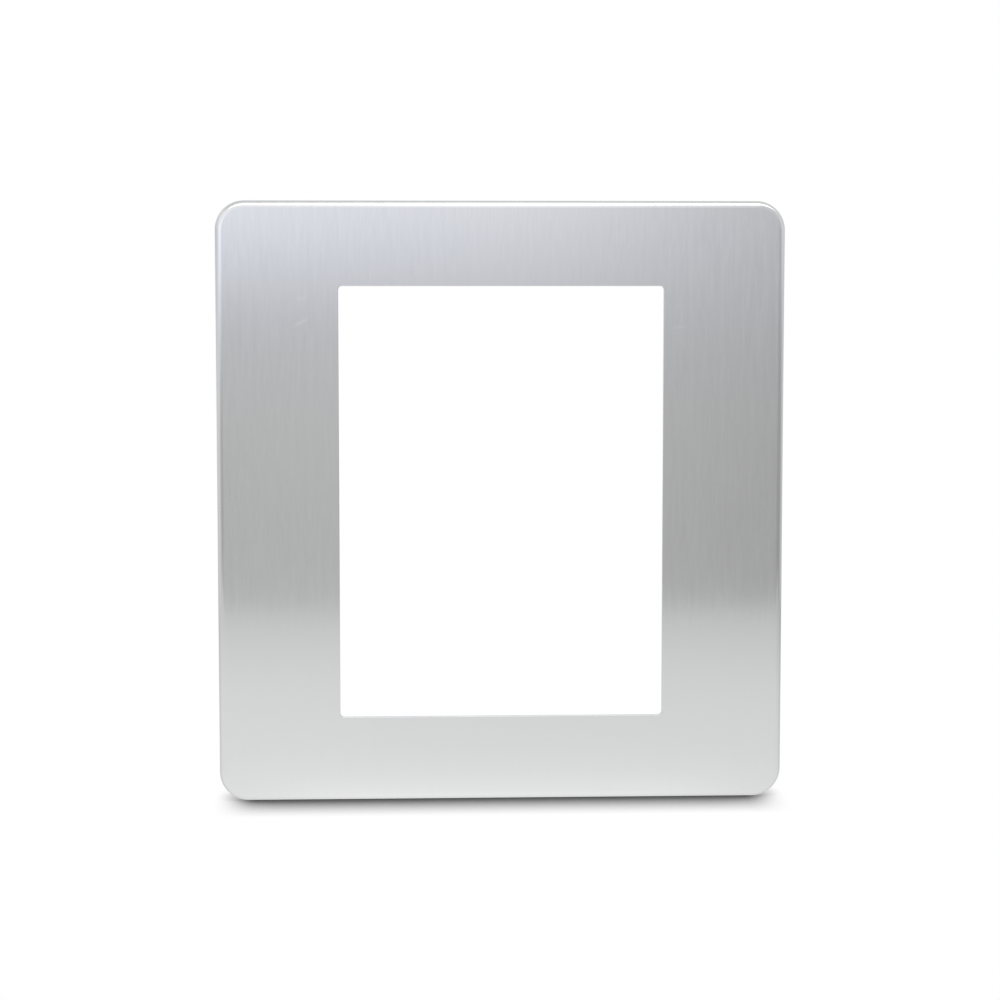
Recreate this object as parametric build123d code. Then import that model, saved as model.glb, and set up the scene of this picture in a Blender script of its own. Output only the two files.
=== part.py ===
from build123d import *
import os

# Clip-on wall plate for two rows of three switch modules.
# Millimetres. X runs to the right, Z up and Y back towards the wall, which is the plane Y = 0.
# Depths below are measured forward from the wall, so a larger value is nearer the viewer.

# Switch modules that the aperture takes
module_width = 22.5
module_height = 45.0
module_columns = 3
module_rows = 2
aperture_clearance = 0.1

# Face plate, pressed from one stainless sheet
side_border = 25.4
end_border = 17.65
plate_depth = 8.0
sheet_thickness = 1.0
corner_radius = 6.0
inner_bend_radius = 0.5
aperture_corner_radius = 0.8
punch_rollover = 0.1
deburr = 0.15

# Pry notch in the bottom rim, for a flat screwdriver
notch_width = 12.0
notch_height = 1.5
notch_corner_radius = 0.5
notch_clearance = 0.3

# Clip frame, moulded in plastic and bonded inside the sheet
fit_clearance = 0.15
aperture_setback = 0.8
web_thickness = 1.6
skirt_thickness = 1.2
wall_clearance = 0.4
lip_thickness = 1.2
lip_height = 1.2

# Gussets that tie the skirt to the web
gusset_thickness = 1.0
gusset_length = 3.5
gusset_setback = 0.8
gusset_pitch = 15.0

# Snap hooks, one beside each module row on either side
hook_offset = 6.8
hook_width = 9.0
hook_thickness = 1.6
hook_taper = 0.3
hook_root_length = 1.5
hook_root_flare = 0.5
hook_lead_in = 0.8
tooth_count = 3
tooth_depth = 0.6
window_clearance = 0.4

# Locating pegs, one near each corner
peg_radius = 1.75
peg_inset = 10.0
peg_tip_chamfer = 0.5

# Marks that the ejector pins of the mould leave on the back of the web
ejector_radius = 2.0
ejector_depth = 0.2

# Sizes that follow
aperture_width = module_columns * module_width + 2 * aperture_clearance
aperture_height = module_rows * module_height + 2 * aperture_clearance
plate_width = aperture_width + 2 * side_border
plate_height = aperture_height + 2 * end_border
outer_bend_radius = inner_bend_radius + sheet_thickness
seat_depth = plate_depth - sheet_thickness
web_back = seat_depth - web_thickness
frame_inset = sheet_thickness + fit_clearance
skirt_inset = frame_inset + skirt_thickness
hook_length = web_back - wall_clearance
hook_inner_x = aperture_width / 2 + hook_offset
tooth_pitch = (hook_length - hook_root_length - hook_lead_in) / tooth_count
peg_x = plate_width / 2 - peg_inset
peg_z = plate_height / 2 - peg_inset
cut_margin = plate_depth


def slab(width, height, radius, back, front):
    """Upright rounded slab between two depths in front of the wall."""
    outline = Plane.XZ.offset(back) * RectangleRounded(width, height, radius)
    return extrude(outline, front - back)


def inset_slab(inset, back, front):
    """Slab that follows the plate's outline, a given inset inside it."""
    return slab(plate_width - 2 * inset, plate_height - 2 * inset, corner_radius - inset, back, front)


def aperture_slab(outset, back, front):
    """Slab that follows the aperture's outline, a given outset around it."""
    width = aperture_width + 2 * outset
    height = aperture_height + 2 * outset
    return slab(width, height, aperture_corner_radius + outset, back, front)


def front_face(solid):
    return solid.faces().sort_by(Axis.Y)[0]


def back_face(solid):
    return solid.faces().sort_by(Axis.Y)[-1]


def pry_notch(clearance):
    """Cutter through the bottom wall, open to the wall side, with rounded front corners."""
    width = notch_width + 2 * clearance
    height = notch_height + clearance
    length = 2 * skirt_inset
    bottom = -plate_height / 2
    block = Box(width, 2 * height, length)
    front_corners = block.edges().filter_by(Axis.Z).group_by(Axis.Y)[0]
    return Pos(0, 0, bottom) * fillet(front_corners, notch_corner_radius)


def make_face_plate():
    tray = inset_slab(0, 0, plate_depth)
    tray = fillet(front_face(tray).edges(), outer_bend_radius)
    hollow = inset_slab(sheet_thickness, -cut_margin, seat_depth)
    hollow = fillet(front_face(hollow).edges(), inner_bend_radius)
    plate = tray - hollow - aperture_slab(0, 0, plate_depth)
    plate = fillet(front_face(plate).inner_wires()[0].edges(), punch_rollover)
    plate = fillet(back_face(plate).edges(), deburr)
    return plate - pry_notch(0)


def make_tray_frame():
    """Web, skirt and aperture lip of the clip frame, moulded as one shell."""
    frame = inset_slab(frame_inset, wall_clearance, seat_depth)
    frame = fillet(front_face(frame).edges(), inner_bend_radius + fit_clearance)
    frame -= inset_slab(skirt_inset, -cut_margin, web_back)
    frame += aperture_slab(aperture_setback + lip_thickness, web_back - lip_height, seat_depth)
    return frame - aperture_slab(aperture_setback, -cut_margin, plate_depth)


def gusset_triangle():
    """Right triangle with its legs on the skirt and on the web, standing across X."""
    corner = (0, -web_back)
    along_web = (gusset_length, -web_back)
    along_skirt = (0, -wall_clearance - gusset_setback)
    triangle = make_face(Polyline(corner, along_web, along_skirt, close=True))
    return extrude(triangle, gusset_thickness / 2, both=True)


def side_places(length):
    """Gusset places along one side, evenly spaced and clear of its rounded corners."""
    steps = int((length - 2 * peg_inset) // gusset_pitch)
    return [(step - steps / 2) * gusset_pitch for step in range(steps + 1)]


def make_gussets():
    triangle = gusset_triangle()
    skirt_x = plate_width / 2 - skirt_inset
    skirt_z = plate_height / 2 - skirt_inset
    gussets = []
    for z in side_places(plate_height):
        gussets.append(Pos(-skirt_x, 0, z) * triangle)
        gussets.append(Pos(skirt_x, 0, z) * Rot(0, 180, 0) * triangle)
    for x in side_places(plate_width):
        gussets.append(Pos(x, 0, skirt_z) * Rot(0, 90, 0) * triangle)
        gussets.append(Pos(x, 0, -skirt_z) * Rot(0, -90, 0) * triangle)
    return gussets


def hook_profile():
    """Side view of a hook: x runs outward from the aperture, y back from the web."""
    web = -web_back
    tip = web + hook_length
    points = [(hook_thickness, web)]
    for tooth in range(tooth_count):
        catch = web + hook_root_length + tooth * tooth_pitch
        points.append((hook_thickness, catch))
        points.append((hook_thickness + tooth_depth, catch))
    points.append((hook_thickness, tip - hook_lead_in))
    points.append((hook_thickness - hook_taper, tip))
    points.append((hook_taper, tip))
    points.append((hook_taper * hook_root_flare / hook_length, web + hook_root_flare))
    points.append((-hook_root_flare, web))
    return make_face(Polyline(*points, close=True))


def make_hook():
    return extrude(hook_profile(), hook_width / 2, both=True)


def hook_window():
    """Opening in the web under the teeth, where the mould shuts off."""
    depth = tooth_depth + window_clearance
    width = hook_width + 2 * window_clearance
    web_middle = web_back + web_thickness / 2
    return Pos(hook_thickness + depth / 2, -web_middle, 0) * Box(depth, 2 * web_thickness, width)


def hook_places():
    """Places of the hooks: one beside each row on the right, then the same turned to the left."""
    places = []
    for row in range(module_rows):
        z = (row - (module_rows - 1) / 2) * module_height
        places.append(Pos(hook_inner_x, 0, z))
        places.append(Pos(-hook_inner_x, 0, z) * Rot(0, 180, 0))
    return places


def make_peg():
    """Round peg from the web to just short of the wall, with a tapered tip."""
    outline = Plane.XZ.offset(wall_clearance) * Circle(peg_radius)
    peg = extrude(outline, web_back - wall_clearance)
    return chamfer(back_face(peg).edges(), peg_tip_chamfer)


def peg_places():
    return [Pos(x, 0, z) for x in (-peg_x, peg_x) for z in (-peg_z, peg_z)]


def make_ejector_marks():
    """Shallow round marks, three on each border of the web, in line with the pegs."""
    outline = Plane.XZ.offset(web_back - ejector_depth) * Circle(ejector_radius)
    mark = extrude(outline, 2 * ejector_depth)
    side_step = module_height * 2 / 3
    end_step = module_width * 4 / 3
    marks = []
    for step in (-1, 0, 1):
        for side in (-1, 1):
            marks.append(Pos(side * peg_x, 0, step * side_step) * mark)
            marks.append(Pos(step * end_step, 0, side * peg_z) * mark)
    return marks


def make_clip_frame():
    frame = make_tray_frame() + make_gussets()
    frame -= [place * hook_window() for place in hook_places()]
    frame += [place * make_hook() for place in hook_places()]
    frame += [place * make_peg() for place in peg_places()]
    frame -= make_ejector_marks()
    return frame - pry_notch(notch_clearance)


os.makedirs("parts", exist_ok=True)
export_step(make_face_plate(), "parts/face_plate.step")
export_step(make_clip_frame(), "parts/clip_frame.step")
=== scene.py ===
import math

import bmesh
import bpy
from mathutils import Matrix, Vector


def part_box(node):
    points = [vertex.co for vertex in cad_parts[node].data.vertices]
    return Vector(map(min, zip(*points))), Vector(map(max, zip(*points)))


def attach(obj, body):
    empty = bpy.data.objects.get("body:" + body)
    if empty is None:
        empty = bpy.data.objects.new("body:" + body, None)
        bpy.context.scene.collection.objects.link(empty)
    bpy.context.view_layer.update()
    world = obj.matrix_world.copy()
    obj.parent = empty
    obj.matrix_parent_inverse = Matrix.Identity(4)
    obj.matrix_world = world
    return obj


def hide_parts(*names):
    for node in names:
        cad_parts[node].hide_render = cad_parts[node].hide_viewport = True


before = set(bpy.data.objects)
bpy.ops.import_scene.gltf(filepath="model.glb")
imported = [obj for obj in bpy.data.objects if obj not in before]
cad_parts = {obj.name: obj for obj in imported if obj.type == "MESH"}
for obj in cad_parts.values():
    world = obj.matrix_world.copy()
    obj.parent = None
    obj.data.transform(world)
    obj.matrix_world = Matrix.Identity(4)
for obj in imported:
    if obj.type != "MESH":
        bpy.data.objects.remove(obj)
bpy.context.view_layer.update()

# Face plate: one sheet of stainless steel, punched for the switch modules and pressed into a
# shallow tray. The front edge is rolled over, the rim turns back to the wall, and a notch in the
# bottom rim takes the screwdriver that pries the plate off. The face is brushed up and down.
plate_low, plate_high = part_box("face_plate")
plate_front = plate_low.y
wall_plane = plate_high.y
sheet_thickness = 0.0010
corner_radius = 0.0060
bend_radius = 0.0015
aperture_width = 0.0677
aperture_height = 0.0902
aperture_corner_radius = 0.0008
punch_rollover = 0.0001
deburr = 0.00015
notch_width = 0.0120
notch_height = 0.0015
notch_corner_radius = 0.0005
corner_segments = 20
bend_segments = 12
small_segments = 4
deburr_segments = 2
same_place = 0.00001
# Folds sharper than the first are cut edges, and folds sharper than the second break the shading.
cut_fold = math.radians(60)
shading_break = math.radians(40)


def round_over(shape, geometry, radius, segments, affect="EDGES"):
    """Rounds the given edges, or the given corner points of an outline."""
    bmesh.ops.bevel(
        shape, geom=geometry, offset=radius, offset_type="OFFSET", affect=affect,
        segments=segments, profile=0.5, material=-1, clamp_overlap=False,
    )


def all_near(edge_or_face, axis, value):
    """Whether every point of an edge or a face lies in one plane across an axis."""
    return all(abs(getattr(v.co, axis) - value) < same_place for v in edge_or_face.verts)


def press_tray(shape):
    """Outer skin of the tray: a rounded block, open at the back, with its front edge rolled over."""
    bmesh.ops.create_cube(shape, size=1.0)
    bmesh.ops.scale(shape, vec=plate_high - plate_low, verts=shape.verts)
    bmesh.ops.translate(shape, vec=(plate_low + plate_high) / 2, verts=shape.verts)
    corners = [e for e in shape.edges if abs(e.verts[0].co.y - e.verts[1].co.y) > sheet_thickness]
    round_over(shape, corners, corner_radius, corner_segments)
    back = [f for f in shape.faces if all_near(f, "y", wall_plane)]
    bmesh.ops.delete(shape, geom=back, context="FACES_ONLY")
    front_edges = [e for e in shape.edges if all_near(e, "y", plate_front)]
    round_over(shape, front_edges, bend_radius, bend_segments)


def punch_aperture(shape):
    """Replaces the flat front by a ring round the aperture, whose outline is drawn on the wall plane
    and brought forward once it is joined."""
    front = [f for f in shape.faces if all_near(f, "y", plate_front)]
    ring = list(front[0].edges)
    bmesh.ops.delete(shape, geom=front, context="FACES_ONLY")
    upright = Matrix.Translation((0, wall_plane, 0)) @ Matrix.Rotation(math.pi / 2, 4, "X")
    sized = upright @ Matrix.Diagonal((aperture_width, aperture_height, 1, 1))
    slug = bmesh.ops.create_grid(shape, x_segments=1, y_segments=1, size=0.5, matrix=sized)
    round_over(shape, slug["verts"], aperture_corner_radius, corner_segments, "VERTICES")
    slug = [f for f in shape.faces if all_near(f, "y", wall_plane)]
    outline = list(slug[0].edges)
    corners = list(slug[0].verts)
    bmesh.ops.delete(shape, geom=slug, context="FACES_ONLY")
    bmesh.ops.bridge_loops(shape, edges=ring + outline)
    bmesh.ops.translate(shape, vec=(0, plate_front - wall_plane, 0), verts=corners)


def middle_of_bottom(shape):
    """Faces of the bottom wall that cross the middle of the plate."""
    bottom = [f for f in shape.faces if all_near(f, "z", plate_low.z)]
    return [f for f in bottom if min(v.co.x for v in f.verts) < 0 < max(v.co.x for v in f.verts)]


def cut_notch(shape):
    """Cuts the pry notch out of the bottom wall and rounds its two inner corners."""
    notch_top = wall_plane - notch_height
    side_cut = (1, 0, 0)
    top_cut = (0, 1, 0)
    for across, normal in ((-notch_width / 2, side_cut), (notch_width / 2, side_cut), (0, top_cut)):
        around = {part for f in middle_of_bottom(shape) for part in (f, *f.edges, *f.verts)}
        cut_at = (across, notch_top, plate_low.z)
        bmesh.ops.bisect_plane(shape, geom=list(around), plane_co=cut_at, plane_no=normal)
    waste = max(middle_of_bottom(shape), key=lambda f: f.calc_center_median().y)
    bmesh.ops.delete(shape, geom=[waste], context="FACES")
    bottom = {f for f in shape.faces if all_near(f, "z", plate_low.z)}
    joins = [e for e in shape.edges if len(e.link_faces) == 2 and set(e.link_faces) <= bottom]
    bmesh.ops.dissolve_edges(shape, edges=joins, use_verts=False)
    top = [e for e in shape.edges if all_near(e, "y", notch_top) and all_near(e, "z", plate_low.z)]
    round_over(shape, list(top[0].verts), notch_corner_radius, small_segments, "VERTICES")


def thicken(shape):
    """Gives the skin the sheet's thickness, then eases the punched edge and deburrs the others."""
    bmesh.ops.recalc_face_normals(shape, faces=shape.faces)
    bmesh.ops.solidify(shape, geom=shape.faces[:], thickness=sheet_thickness)
    shape.normal_update()
    folds = [e for e in shape.edges if e.calc_face_angle(0) > cut_fold]
    punched = [e for e in folds if all_near(e, "y", plate_front)]
    others = [e for e in folds if e not in punched]
    round_over(shape, punched, punch_rollover, small_segments)
    others = [e for e in others if e.is_valid]
    round_over(shape, others, deburr, deburr_segments)


def lay_out_blank(shape):
    """Unrolls the tray into its flat blank: the map runs across and along the brushing, in metres."""
    blank = shape.loops.layers.uv.new("blank")
    shape.normal_update()
    for face in shape.faces:
        for loop in face.loops:
            place = loop.vert.co
            facing = loop.vert.normal
            depth = place.y - plate_front
            loop[blank].uv = (place.x + facing.x * depth, place.z + facing.z * depth)


def make_piece(name, shape):
    """Turns a shape into an object with smooth shading that breaks only at sharp folds."""
    for face in shape.faces:
        face.smooth = True
    for edge in shape.edges:
        edge.smooth = edge.calc_face_angle(0) < shading_break
    mesh = bpy.data.meshes.new(name)
    shape.to_mesh(mesh)
    shape.free()
    piece = bpy.data.objects.new(name, mesh)
    bpy.context.scene.collection.objects.link(piece)
    return piece


plate_shape = bmesh.new()
press_tray(plate_shape)
punch_aperture(plate_shape)
cut_notch(plate_shape)
thicken(plate_shape)
lay_out_blank(plate_shape)
steel_face = make_piece("steel_face", plate_shape)
flat_shading = steel_face.modifiers.new("flat faces", "WEIGHTED_NORMAL")
flat_shading.keep_sharp = True

steel_dark = (0.719, 0.722, 0.727, 1.0)
steel_light = (0.772, 0.774, 0.778, 1.0)
scuff_light = (0.86, 0.86, 0.87, 1.0)
brushing_roughness = 0.153
roughness_change = 0.012
brushing_spread = 0.94
# Width and length of the brushed lines, how much the broad ones count, and how deep the fine ones are.
fine_line = (0.00034, 0.0045)
broad_line = (0.00130, 0.0150)
broad_share = 0.5
line_depth = 0.000004
streak_detail = 3.0
streak_contrast = 0.6
# Noise keeps mostly between these two values.
noise_low = 0.3
noise_high = 0.7
# The brushing is full from a little below the middle of the plate. At the foot it is faint, and
# keeps close to one even tone, halfway between the dark and the light.
faint_below = -0.036
full_above = -0.010
faint_share = 0.3
even_tone = 0.5
# Each scuff: across, up, turn in degrees, half length and half width on the blank, strength.
scuffs = (
    (-0.0416, 0.0376, 29, 0.0023, 0.00050, 0.50),
    (-0.0416, 0.0426, -4, 0.0014, 0.00045, 0.40),
    (0.0373, 0.0366, 0, 0.0022, 0.00038, 0.42),
)


def add_node(tree, kind, inputs=(), **settings):
    """Adds one shader node with its settings; inputs pairs a socket with a value or a link."""
    node = tree.nodes.new(kind)
    for name, value in settings.items():
        setattr(node, name, value)
    for socket, value in inputs:
        if isinstance(value, bpy.types.NodeSocket):
            tree.links.new(value, node.inputs[socket])
        else:
            node.inputs[socket].default_value = value
    return node


def remap(tree, value, low, high, to_low=0.0, to_high=1.0, eased=False):
    """Maps a value from one range to another and stops at its ends, with eased ends where asked."""
    easing = "SMOOTHSTEP" if eased else "LINEAR"
    inputs = ((0, value), (1, low), (2, high), (3, to_low), (4, to_high))
    return add_node(tree, "ShaderNodeMapRange", inputs, interpolation_type=easing).outputs[0]


def calculate(tree, operation, *values):
    """One step of arithmetic on numbers or links."""
    return add_node(tree, "ShaderNodeMath", enumerate(values), operation=operation).outputs[0]


def mix_values(tree, share, first, second):
    """Blends two numbers; a share of 1 is all of the second."""
    return add_node(tree, "ShaderNodeMix", ((0, share), (2, first), (3, second))).outputs[0]


def mix_colours(tree, share, first, second, blend="MIX"):
    """Blends two colours; a share of 1 is all of the second, or their product where they multiply."""
    inputs = ((0, share), (6, first), (7, second))
    return add_node(tree, "ShaderNodeMix", inputs, data_type="RGBA", blend_type=blend).outputs[2]


def add_relief(tree, height, depth, strength=1.0):
    """Normal of a surface whose height runs from 0 to 1, with its depth in metres."""
    inputs = (("Height", height), ("Distance", depth), ("Strength", strength))
    return add_node(tree, "ShaderNodeBump", inputs).outputs[0]


def new_material(name):
    """A node material with a Principled shader; returns the material, its tree and the shader."""
    material = bpy.data.materials.new(name)
    material.use_nodes = True
    return material, material.node_tree, material.node_tree.nodes["Principled BSDF"]


def make_streaks():
    """Node group: streaks that run along the second axis, with their width and length in metres."""
    group = bpy.data.node_groups.new("streaks", "ShaderNodeTree")
    group.interface.new_socket("Vector", in_out="INPUT", socket_type="NodeSocketVector")
    group.interface.new_socket("Width", in_out="INPUT", socket_type="NodeSocketFloat")
    group.interface.new_socket("Length", in_out="INPUT", socket_type="NodeSocketFloat")
    group.interface.new_socket("Streak", in_out="OUTPUT", socket_type="NodeSocketFloat")
    given = group.nodes.new("NodeGroupInput").outputs
    across, along = given["Width"], given["Length"]
    sizes = add_node(group, "ShaderNodeCombineXYZ", (("X", across), ("Y", along), ("Z", across)))
    pair = ((0, given["Vector"]), (1, sizes.outputs[0]))
    scaled = add_node(group, "ShaderNodeVectorMath", pair, operation="DIVIDE")
    noise = add_node(
        group, "ShaderNodeTexNoise",
        (("Vector", scaled.outputs[0]), ("Scale", 1.0), ("Detail", streak_detail),
         ("Roughness", streak_contrast)),
    )
    result = group.nodes.new("NodeGroupOutput")
    group.links.new(noise.outputs["Fac"], result.inputs["Streak"])
    return group


streaks = make_streaks()


def add_streaks(tree, place, width, length):
    """Places the streaks in a material."""
    inputs = (("Vector", place), ("Width", width), ("Length", length))
    return add_node(tree, "ShaderNodeGroup", inputs, node_tree=streaks).outputs["Streak"]


steel, tree, shader = new_material("brushed_steel")
blank = add_node(tree, "ShaderNodeUVMap", uv_map="blank").outputs[0]
fine = add_streaks(tree, blank, *fine_line)
broad = add_streaks(tree, blank, *broad_line)
tone = remap(tree, mix_values(tree, broad_share, fine, broad), noise_low, noise_high)
along = add_node(tree, "ShaderNodeSeparateXYZ", ((0, blank),)).outputs["Y"]
clear = remap(tree, along, faint_below, full_above, faint_share, 1.0, eased=True)
colour = mix_colours(tree, mix_values(tree, clear, even_tone, tone), steel_dark, steel_light)
for across, up, turn, half_length, half_width, strength in scuffs:
    stroke = add_node(tree, "ShaderNodeMapping", (("Vector", blank),), vector_type="TEXTURE")
    stroke.inputs["Location"].default_value = (across, up, 0)
    stroke.inputs["Rotation"].default_value = (0, 0, math.radians(turn))
    stroke.inputs["Scale"].default_value = (half_length, half_width, 1)
    spot = add_node(tree, "ShaderNodeTexGradient", ((0, stroke.outputs[0]),), gradient_type="SPHERICAL")
    faint = calculate(tree, "MULTIPLY", spot.outputs["Fac"], strength)
    colour = mix_colours(tree, faint, colour, scuff_light)
smoothest = brushing_roughness - roughness_change
roughest = brushing_roughness + roughness_change
sheen = remap(tree, broad, noise_low, noise_high, smoothest, roughest)
across_brushing = add_node(tree, "ShaderNodeTangent", direction_type="UV_MAP", uv_map="blank")
tree.links.new(colour, shader.inputs["Base Color"])
tree.links.new(sheen, shader.inputs["Roughness"])
tree.links.new(add_relief(tree, fine, line_depth), shader.inputs["Normal"])
tree.links.new(across_brushing.outputs[0], shader.inputs["Tangent"])
shader.inputs["Metallic"].default_value = 1.0
shader.inputs["Anisotropic"].default_value = brushing_spread
steel_face.data.materials.append(steel)

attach(steel_face, "root")
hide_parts("face_plate")

# Clip frame: one moulding of light grey plastic, bonded inside the tray. It carries the snap hooks
# and the pegs, and its mould was spark-eroded to a fine matte, with eased edges.
clip_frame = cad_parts["clip_frame"]
facet_gap = 0.000001
flat_within = math.radians(0.5)
mould_edge = 0.00009
mould_edge_segments = 2
mould_edge_fold = math.radians(40)
clip_dark = (0.585, 0.595, 0.605, 1.0)
clip_light = (0.640, 0.650, 0.660, 1.0)
clip_gloss_roughness = 0.52
clip_matte_roughness = 0.66
clip_ior = 1.5
erosion_grain = 0.00018
erosion_depth = 0.000012
erosion_strength = 0.6
erosion_detail = 2.0
erosion_contrast = 0.55
# Width and length of the flow marks of the plastic, and how much they count beside the grain.
flow_mark = (0.0300, 0.0035)
flow_share = 0.5

join = clip_frame.modifiers.new("join facets", "WELD")
join.merge_threshold = facet_gap
flatten = clip_frame.modifiers.new("whole faces", "DECIMATE")
flatten.decimate_type = "DISSOLVE"
flatten.angle_limit = flat_within
facets = clip_frame.modifiers.new("even facets", "TRIANGULATE")
facets.ngon_method = "BEAUTY"
ease = clip_frame.modifiers.new("eased edges", "BEVEL")
ease.width = mould_edge
ease.segments = mould_edge_segments
ease.limit_method = "ANGLE"
ease.angle_limit = mould_edge_fold
ease.use_clamp_overlap = False
ease.loop_slide = False
even = clip_frame.modifiers.new("flat faces", "WEIGHTED_NORMAL")
even.keep_sharp = True

plastic, tree, shader = new_material("clip_moulding")
place = add_node(tree, "ShaderNodeTexCoord").outputs["Object"]
grain = add_node(
    tree, "ShaderNodeTexNoise",
    (("Vector", place), ("Scale", 1 / erosion_grain), ("Detail", erosion_detail),
     ("Roughness", erosion_contrast)),
).outputs["Fac"]
flow = add_streaks(tree, place, *flow_mark)
tone = remap(tree, mix_values(tree, flow_share, grain, flow), noise_low, noise_high)
matte = remap(tree, grain, noise_low, noise_high, clip_gloss_roughness, clip_matte_roughness)
relief = add_relief(tree, grain, erosion_depth, erosion_strength)
tree.links.new(mix_colours(tree, tone, clip_dark, clip_light), shader.inputs["Base Color"])
tree.links.new(matte, shader.inputs["Roughness"])
tree.links.new(relief, shader.inputs["Normal"])
shader.inputs["IOR"].default_value = clip_ior
clip_frame.data.materials.clear()
clip_frame.data.materials.append(plastic)

# Table: a white board that the plate stands on, which glows instead of being lit. It ends a forearm's
# length from the plate in front and at the sides, and has a painted shadow close to what stands on it.
table_front = -0.323
table_back = 2.5
table_half_width = 0.36
# The shadow: its reach, its darkest tone, the open share there, and where it fades at both ends.
shadow_reach = 0.017
shadow_tone = 0.10
shadow_open_share = 0.52
shadow_samples = 16
shadow_ends = (0.0610, 0.0515)
# Tone of painted light that the brushed face mirrors, by distance from the foot of the plate.
foot_half_width = 0.030
mirrored_light_tones = (
    (0.000, 1.06), (0.030, 0.950), (0.060, 0.905), (0.160, 0.850), (0.260, 0.760), (0.315, 0.695),
)
# That tone is dimmer behind the plate's front, a painted shade of the plate, and falls by this
# share for each metre to the right, a painted falloff of light.
behind_reach = 0.001
behind_shade_dim = 0.86
right_light_fall = 0.30


def make_board(name, left, right, front, back, height):
    """Level rectangular board between four edges."""
    shape = bmesh.new()
    middle = Matrix.Translation(((left + right) / 2, (front + back) / 2, height))
    size = Matrix.Diagonal((right - left, back - front, 1, 1))
    bmesh.ops.create_grid(shape, x_segments=1, y_segments=1, size=0.5, matrix=middle @ size)
    board = make_piece(name, shape)
    return board


def make_glow(name):
    """A material that only glows; returns the material, its tree and the glow."""
    material, tree, shader = new_material(name)
    tree.nodes.remove(shader)
    glow = add_node(tree, "ShaderNodeEmission")
    tree.links.new(glow.outputs[0], tree.nodes["Material Output"].inputs["Surface"])
    return material, tree, glow


def add_place(tree):
    """The three coordinates of a point, in metres."""
    point = add_node(tree, "ShaderNodeTexCoord").outputs["Object"]
    return add_node(tree, "ShaderNodeSeparateXYZ", ((0, point),)).outputs


def add_ramp(tree, value, stops):
    """Colour ramp through stops of (place, tone), where a tone is a grey or a colour."""
    low, high = stops[0][0], stops[-1][0]
    ramp = add_node(tree, "ShaderNodeValToRGB", ((0, remap(tree, value, low, high)),))
    spots = ramp.color_ramp.elements
    while len(spots) < len(stops):
        spots.new(1.0)
    for spot, (at, tone) in zip(spots, stops):
        spot.position = (at - low) / (high - low)
        spot.color = (tone, tone, tone, 1.0) if isinstance(tone, float) else (*tone, 1.0)
    return ramp.outputs["Color"]


table = make_board("table", -table_half_width, table_half_width, table_front, table_back, plate_low.z)
white_board, tree, glow = make_glow("white_board")
place = add_place(tree)
reach = (("Distance", shadow_reach),)
# The shadow is painted into the glow from how much the plate closes off each point, only between its
# ends.
contact = add_node(tree, "ShaderNodeAmbientOcclusion", reach, samples=shadow_samples).outputs["AO"]
shade = remap(tree, contact, shadow_open_share, 1.0, shadow_tone, 1.0)
aside = calculate(tree, "ABSOLUTE", place["X"])
under = remap(tree, aside, *shadow_ends, eased=True)
shadow = mix_values(tree, under, 1.0, shade)
ahead = calculate(tree, "SUBTRACT", plate_front, place["Y"])
past_end = calculate(tree, "SUBTRACT", aside, foot_half_width)
beside = calculate(tree, "MAXIMUM", past_end, 0.0)
away = add_node(tree, "ShaderNodeCombineXYZ", (("X", beside), ("Y", ahead))).outputs[0]
distance = add_node(tree, "ShaderNodeVectorMath", ((0, away),), operation="LENGTH").outputs["Value"]
# The steel mirrors painted light: tones by distance, painted shade behind the plate, falloff to the
# right.
behind = remap(tree, ahead, -behind_reach, 0.0, behind_shade_dim, 1.0)
light_to_right = calculate(tree, "MULTIPLY_ADD", place["X"], -right_light_fall, 1.0)
share = calculate(tree, "MULTIPLY", behind, light_to_right)
scaled = ((0, add_ramp(tree, distance, mirrored_light_tones)), ("Scale", share))
mirrored = add_node(tree, "ShaderNodeVectorMath", scaled, operation="SCALE").outputs[0]
to_camera = add_node(tree, "ShaderNodeLightPath").outputs["Is Camera Ray"]
tree.links.new(mix_colours(tree, to_camera, mirrored, shadow), glow.inputs["Color"])
table.data.materials.append(white_board)

# Studio screen: a round grey screen that only the steel mirrors, glowing with painted light rather
# than being lit. Its sides are lighter than its front, a cool window of light opens high on the left,
# and it glows towards the top.
screen_radius = 0.80
screen_low = -0.40
screen_top = 1.00
screen_steps = 96
# Heights above the table: the window's head, the foot of the glow, and where the light turns cool.
window_head = 0.157
glow_low = 0.142
cool_low = 0.040
cool_high = 0.120
# The screen's painted light dims a little below the plate's middle, from which these two heights
# are measured.
foot_low = -0.090
foot_high = 0.002
foot_dim = 0.92
# The light is cool on the left and only faintly so on the right, by degrees right of straight ahead.
cool_light = (0.976, 1.0, 1.076)
faintly_cool = (0.987, 1.0, 1.042)
cool_tints = ((-180, cool_light), (0, cool_light), (10, faintly_cool), (180, faintly_cool))
# Height of the window's sill above the table, by degrees right of straight ahead.
sill_heights = ((-180, 0.020), (-46, 0.020), (-8, 0.083), (8, 0.053), (180, 0.053))
# Tones of painted light round the screen by degrees right of straight ahead: under the sill, in the
# window, at the top.
low_tones = (
    (-180, 0.76), (-78, 0.84), (-44, 0.50), (-27, 0.52), (-4, 0.65), (7, 0.63),
    (14, 0.462), (66, 0.41), (106, 0.75), (180, 0.78),
)
high_tones = (
    (-180, 0.70), (-90, 0.74), (-52, 1.16), (-38, 1.30), (-22, 1.22), (-7, 0.98), (0, 0.935),
    (6.5, 0.98), (10, 0.565), (52, 0.56), (82, 0.96), (112, 0.70), (180, 0.70),
)
top_tones = ((-180, 0.80), (-60, 1.00), (-7, 0.98), (2, 1.60), (7, 1.50), (11, 0.80), (180, 0.80))


def only_mirrored(thing):
    """Hides a part of the studio from the camera, and from all light but reflections."""
    thing.visible_camera = False
    thing.visible_diffuse = False
    thing.visible_shadow = False


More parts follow.
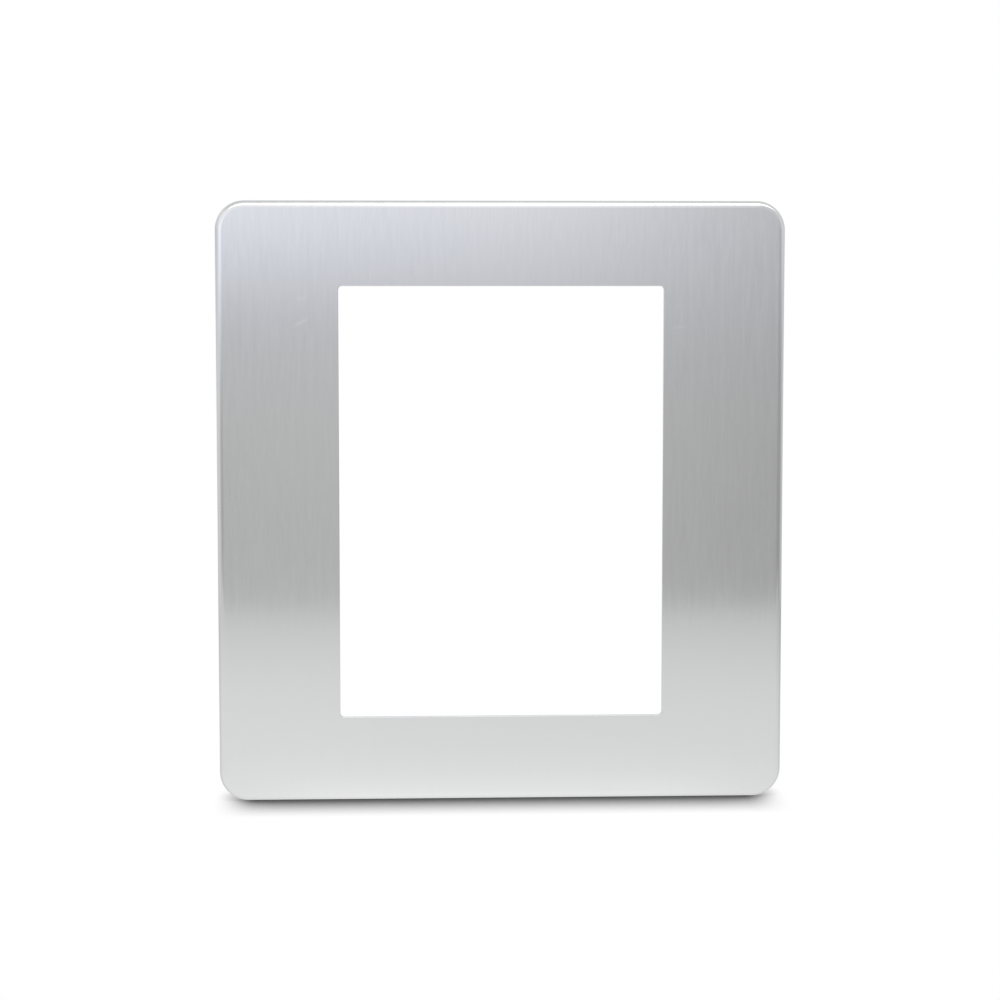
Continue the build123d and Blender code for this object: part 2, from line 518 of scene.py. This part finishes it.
screen_shape = bmesh.new()
foot = screen_shape.verts.new((0, screen_radius, screen_low))
head = screen_shape.verts.new((0, screen_radius, screen_top))
upright = screen_shape.edges.new((foot, head))
bmesh.ops.spin(
    screen_shape, geom=[foot, head, upright], cent=(0, 0, 0), axis=(0, 0, 1), steps=screen_steps,
    angle=2 * math.pi, use_merge=True,
)
screen = make_piece("studio_screen", screen_shape)
only_mirrored(screen)
glowing_screen, tree, glow = make_glow("glowing_screen")
place = add_place(tree)
outward = calculate(tree, "MULTIPLY", place["Y"], -1.0)
degrees = calculate(tree, "DEGREES", calculate(tree, "ARCTAN2", place["X"], outward))
height = calculate(tree, "SUBTRACT", place["Z"], plate_low.z)
raised = remap(tree, height, add_ramp(tree, degrees, sill_heights), window_head, eased=True)
under_sill = add_ramp(tree, degrees, low_tones)
in_window = add_ramp(tree, degrees, high_tones)
tones = mix_colours(tree, raised, under_sill, in_window)
cooled = remap(tree, height, cool_low, cool_high, eased=True)
tinted = mix_colours(tree, cooled, tones, add_ramp(tree, degrees, cool_tints), "MULTIPLY")
to_top = calculate(tree, "SQRT", remap(tree, height, glow_low, screen_top))
rising = mix_colours(tree, to_top, tinted, add_ramp(tree, degrees, top_tones))
dimmed = remap(tree, place["Z"], foot_low, foot_high, foot_dim, 1.0)
tree.links.new(rising, glow.inputs["Color"])
tree.links.new(dimmed, glow.inputs["Strength"])
screen.data.materials.append(glowing_screen)

# Light: one wide softbox overhead in an evenly white room, its left end nearer the camera and both
# ends dimmer. Grey flags above it and under its sides draw the dark line along the plate's top edge.
softbox_width = 2.4
softbox_length = 0.53
softbox_place = (0, -0.384, 0.75)
softbox_turn = math.radians(35)
softbox_radiance = 1.45
# Tone of the softbox from its left end to its right end.
softbox_tones = ((0.0, 0.55), (0.31, 1.0), (0.69, 1.0), (1.0, 0.55))
# Each flag: name, left end, right end, front edge, height.
flags = (
    ("upper_flag", -1.0, 1.0, -0.50, 0.76),
    ("left_flag", -1.0, -0.060, -0.26, 0.74),
    ("right_flag", 0.115, 1.0, -0.08, 0.74),
)
flag_back = 1.05
flag_tone = 0.75
room_fill = 0.8

lamp = bpy.data.lights.new("softbox", "AREA")
lamp.shape = "RECTANGLE"
lamp.size = softbox_width
lamp.size_y = softbox_length
lamp.energy = softbox_radiance * math.pi * lamp.size * lamp.size_y
lamp.use_nodes = True
tree = lamp.node_tree
spot = add_node(tree, "ShaderNodeNewGeometry").outputs["Parametric"]
along = add_node(tree, "ShaderNodeSeparateXYZ", ((0, spot),)).outputs["X"]
tree.links.new(add_ramp(tree, along, softbox_tones), tree.nodes["Emission"].inputs["Color"])
softbox = bpy.data.objects.new("softbox", lamp)
softbox.location = softbox_place
softbox.rotation_euler.z = softbox_turn
bpy.context.scene.collection.objects.link(softbox)

# The flags glow at one grey tone, painted light that only the steel mirrors, not lit by the softbox.
grey_flag, tree, glow = make_glow("grey_flag")
glow.inputs["Color"].default_value = (flag_tone, flag_tone, flag_tone, 1.0)
for name, left, right, front, height in flags:
    flag = make_board(name, left, right, front, flag_back, height)
    only_mirrored(flag)
    flag.data.materials.append(grey_flag)

room = bpy.data.worlds.new("white_room")
room.use_nodes = True
bpy.context.scene.world = room
tree = room.node_tree
to_matte = add_node(tree, "ShaderNodeLightPath").outputs["Is Diffuse Ray"]
fill = remap(tree, to_matte, 0.0, 1.0, 1.0, room_fill)
tree.nodes["Background"].inputs["Color"].default_value = (1, 1, 1, 1)
tree.links.new(fill, tree.nodes["Background"].inputs["Strength"])

# Camera: a long lens half a metre in front of the plate, above its middle and to its left. It is
# turned a few degrees down and to the right.
lens_length = 90
sensor_width = 36
camera_place = (-0.0243, -0.5280, 0.0450)
look_down = 4.88
look_right = 2.64

lens = bpy.data.cameras.new("camera")
lens.lens = lens_length
lens.sensor_width = sensor_width
camera = bpy.data.objects.new("camera", lens)
camera.location = camera_place
camera.rotation_euler = (math.radians(90 - look_down), 0, math.radians(-look_right))
bpy.context.scene.collection.objects.link(camera)
bpy.context.scene.camera = camera
bpy.context.scene.view_settings.view_transform = "Standard"
